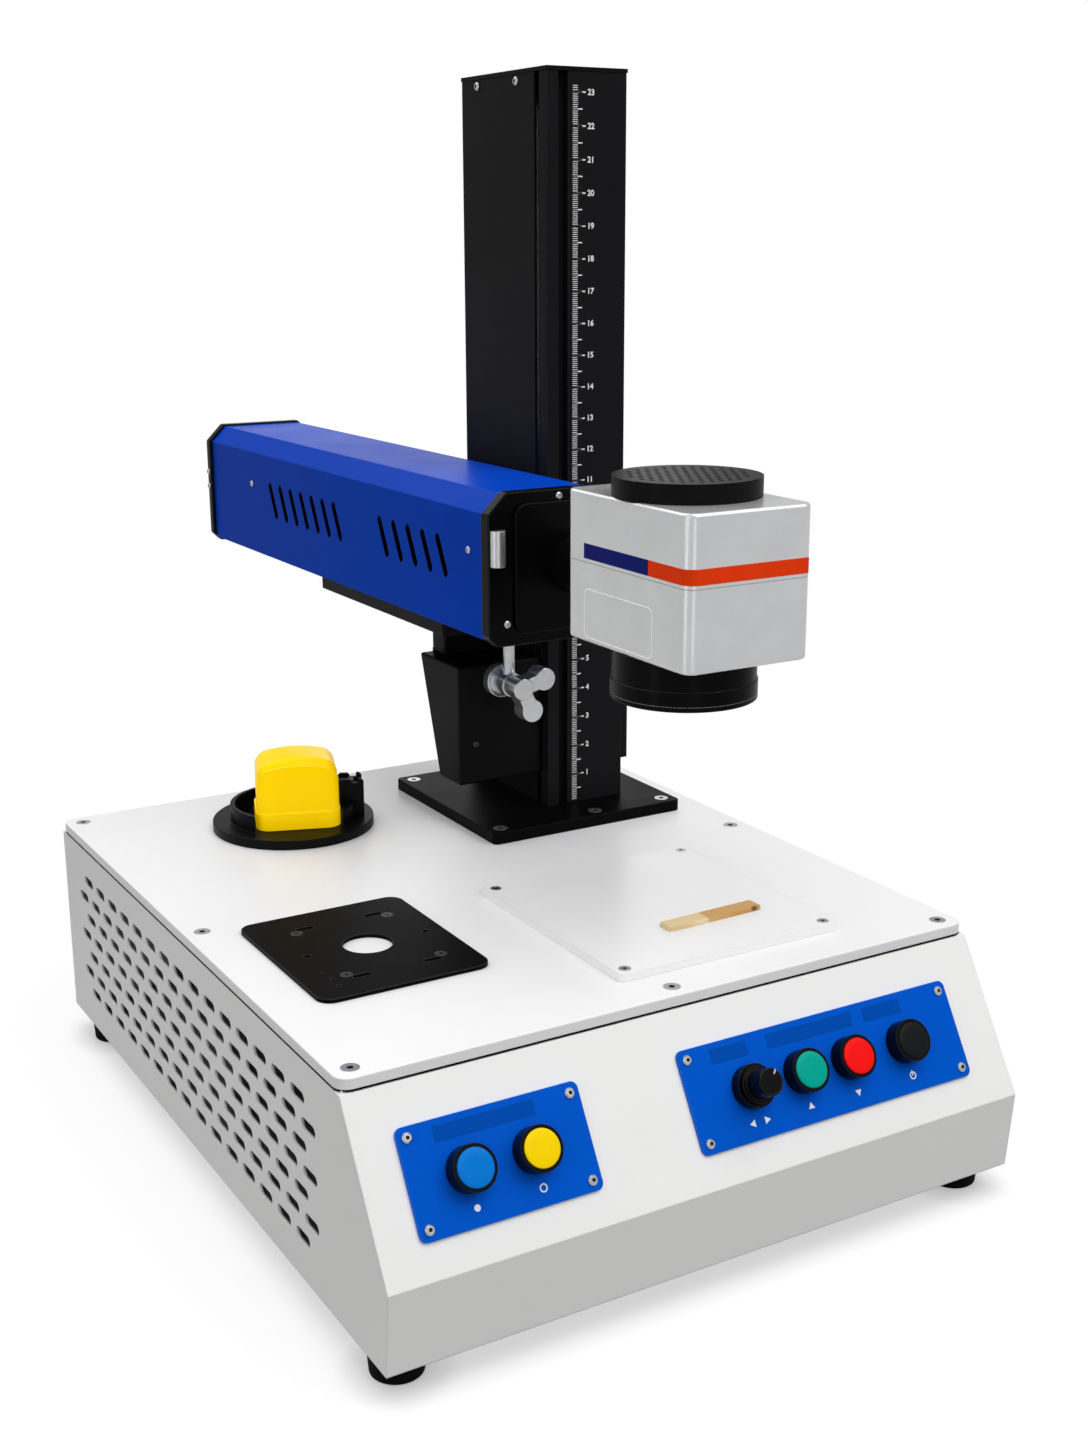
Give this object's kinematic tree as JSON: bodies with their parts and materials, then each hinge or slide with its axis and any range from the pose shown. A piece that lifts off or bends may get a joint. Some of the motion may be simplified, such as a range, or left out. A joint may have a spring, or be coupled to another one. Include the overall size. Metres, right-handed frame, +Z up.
{
  "type": "laser marking machine",
  "caption": "Bench laser marking machine: sloped-front cabinet, motor-driven lift column, blue laser head with galvo scanner and lens over a work plate.",
  "frame": {"origin": "bottom centre of the bounding box, on the plane that the feet stand on", "axes": "+X to the operator's right, +Y from the sloped control front to the rear, +Z up"},
  "size_m": [0.5, 0.91, 0.803],
  "materials": {
    "cabinet_white": "satin powder coat",
    "deck_white": "satin powder coat",
    "panel_blue": "satin lacquer",
    "head_blue": "semi-gloss lacquer",
    "black_anodised": "black satin anodised",
    "scanner_grey": "bead-blasted, clear anodised",
    "steel": "bright zinc",
    "chrome": "polished",
    "black_rubber": "matt",
    "black_plastic": "fine grain",
    "laser_blue": "gloss",
    "signal_yellow": "gloss",
    "signal_green": "gloss",
    "signal_red": "gloss",
    "button_black": "gloss",
    "cover_yellow": "semi-gloss",
    "pale_wood": "bare",
    "sheet_zinc": "zinc-plated",
    "case_aluminium": "mill finish",
    "motor_black": "satin",
    "brass": "machined",
    "board_green": "solder mask",
    "scan_mirror": "coated",
    "lens_glass": "coated"
  },
  "bodies": {
    "cabinet": {"cabinet_shell": "cabinet_white", "bottom_pan": "sheet_zinc", "rubber_feet": "black_rubber", "top_plate": "deck_white", "deck_screws": "steel", "marking_panel": "panel_blue", "axis_panel": "panel_blue", "button_head_screws": "steel", "switch_bodies": "black_plastic", "fixture_plate": "black_anodised", "work_plate": "deck_white", "plate_screws": "steel", "locating_bar": "pale_wood", "socket_flange": "black_plastic", "socket_insert": "black_plastic", "cover_hinge_bracket": "black_plastic", "column_base_plate": "black_anodised", "column_profile": "black_anodised", "column_side_cover": "black_anodised", "column_cap": "black_anodised", "limit_switch_rail": "black_anodised", "guide_rods": "steel", "z_motor": "motor_black", "power_supply": "case_aluminium", "control_board": "board_green", "fan_frame": "black_plastic", "mains_inlet": "black_plastic"},
    "laser_switch": {"laser_button": "laser_blue"},
    "test_switch": {"test_button": "signal_yellow"},
    "up_switch": {"up_button": "signal_green"},
    "down_switch": {"down_button": "signal_red"},
    "power_switch": {"power_button": "button_black"},
    "selector": {"selector_knob": "black_plastic"},
    "cover": {"socket_cover": "cover_yellow"},
    "rotor": {"fan_rotor": "black_plastic"},
    "drive_screw": {"lead_screw": "steel", "shaft_coupling": "case_aluminium"},
    "carriage": {"carriage_block": "case_aluminium", "guide_bushings": "brass", "lead_nut": "brass", "carriage_bracket": "black_anodised", "arm_plate": "black_anodised", "clamp_hub": "chrome", "clamp_post": "chrome", "head_shell": "head_blue", "head_front_plate": "black_anodised", "head_rear_plate": "black_anodised", "head_cover_panel": "black_anodised", "head_screws": "steel", "head_latch": "chrome", "beam_tube": "black_anodised", "galvo_housing": "scanner_grey", "galvo_cap": "black_anodised", "galvo_motors": "case_aluminium", "lens_barrel": "black_anodised", "lens_glass": "lens_glass", "laser_module": "case_aluminium"},
    "clamp_handle": {"wing_handle": "chrome"},
    "x_mirror": {"mirror_x": "scan_mirror"},
    "y_mirror": {"mirror_y": "scan_mirror"}
  },
  "joints": [
    {"name": "head_lift", "type": "slide", "parent": "cabinet", "child": "carriage", "axis": [0, 0, 1], "range_m": [-0.02, 0.4]},
    {"name": "screw_spin", "type": "hinge", "parent": "cabinet", "child": "drive_screw", "pos_m": [0.1496, 0.05, 0.3], "axis": [0, 0, 1], "range_deg": [-730, 14410]},
    {"name": "laser_press", "type": "slide", "parent": "cabinet", "child": "laser_switch", "axis": [0, 0.8593, -0.5114], "range_m": [0, 0.003], "stiffness_N_per_m": 900, "springref_m": -0.002},
    {"name": "test_press", "type": "slide", "parent": "cabinet", "child": "test_switch", "axis": [0, 0.8593, -0.5114], "range_m": [0, 0.003], "stiffness_N_per_m": 900, "springref_m": -0.002},
    {"name": "up_press", "type": "slide", "parent": "cabinet", "child": "up_switch", "axis": [0, 0.8593, -0.5114], "range_m": [0, 0.003], "stiffness_N_per_m": 900, "springref_m": -0.002},
    {"name": "down_press", "type": "slide", "parent": "cabinet", "child": "down_switch", "axis": [0, 0.8593, -0.5114], "range_m": [0, 0.003], "stiffness_N_per_m": 900, "springref_m": -0.002},
    {"name": "power_press", "type": "slide", "parent": "cabinet", "child": "power_switch", "axis": [0, 0.8593, -0.5114], "range_m": [0, 0.003], "stiffness_N_per_m": 900, "springref_m": -0.002},
    {"name": "selector_turn", "type": "hinge", "parent": "cabinet", "child": "selector", "pos_m": [0.032, -0.42571, 0.12722], "axis": [0, -0.8593, 0.5114], "range_deg": [-45, 45]},
    {"name": "cover_lift", "type": "hinge", "parent": "cabinet", "child": "cover", "pos_m": [-0.03716, 0.05286, 0.222], "axis": [0.3322, 0.9432, 0], "range_deg": [0, 110]},
    {"name": "fan_spin", "type": "hinge", "parent": "cabinet", "child": "rotor", "pos_m": [-0.1, 0.166, 0.086], "axis": [0, 1, 0], "continuous": true},
    {"name": "clamp_turn", "type": "hinge", "parent": "carriage", "child": "clamp_handle", "pos_m": [0.0685, -0.056, 0.3175], "axis": [0, -1, 0], "range_deg": [-180, 180]},
    {"name": "x_mirror_turn", "type": "hinge", "parent": "carriage", "child": "x_mirror", "pos_m": [0.0705, -0.3125, 0.434], "axis": [0, 0, 1], "range_deg": [-12, 12], "stiffness_Nm_per_rad": 0.02},
    {"name": "y_mirror_turn", "type": "hinge", "parent": "carriage", "child": "y_mirror", "pos_m": [0.0525, -0.3125, 0.434], "axis": [0, 1, 0], "range_deg": [-12, 12], "stiffness_Nm_per_rad": 0.02}
  ],
  "couplings": [
    {"joint": "screw_spin", "follows": "head_lift", "rad_per_m": 628.32}
  ]
}
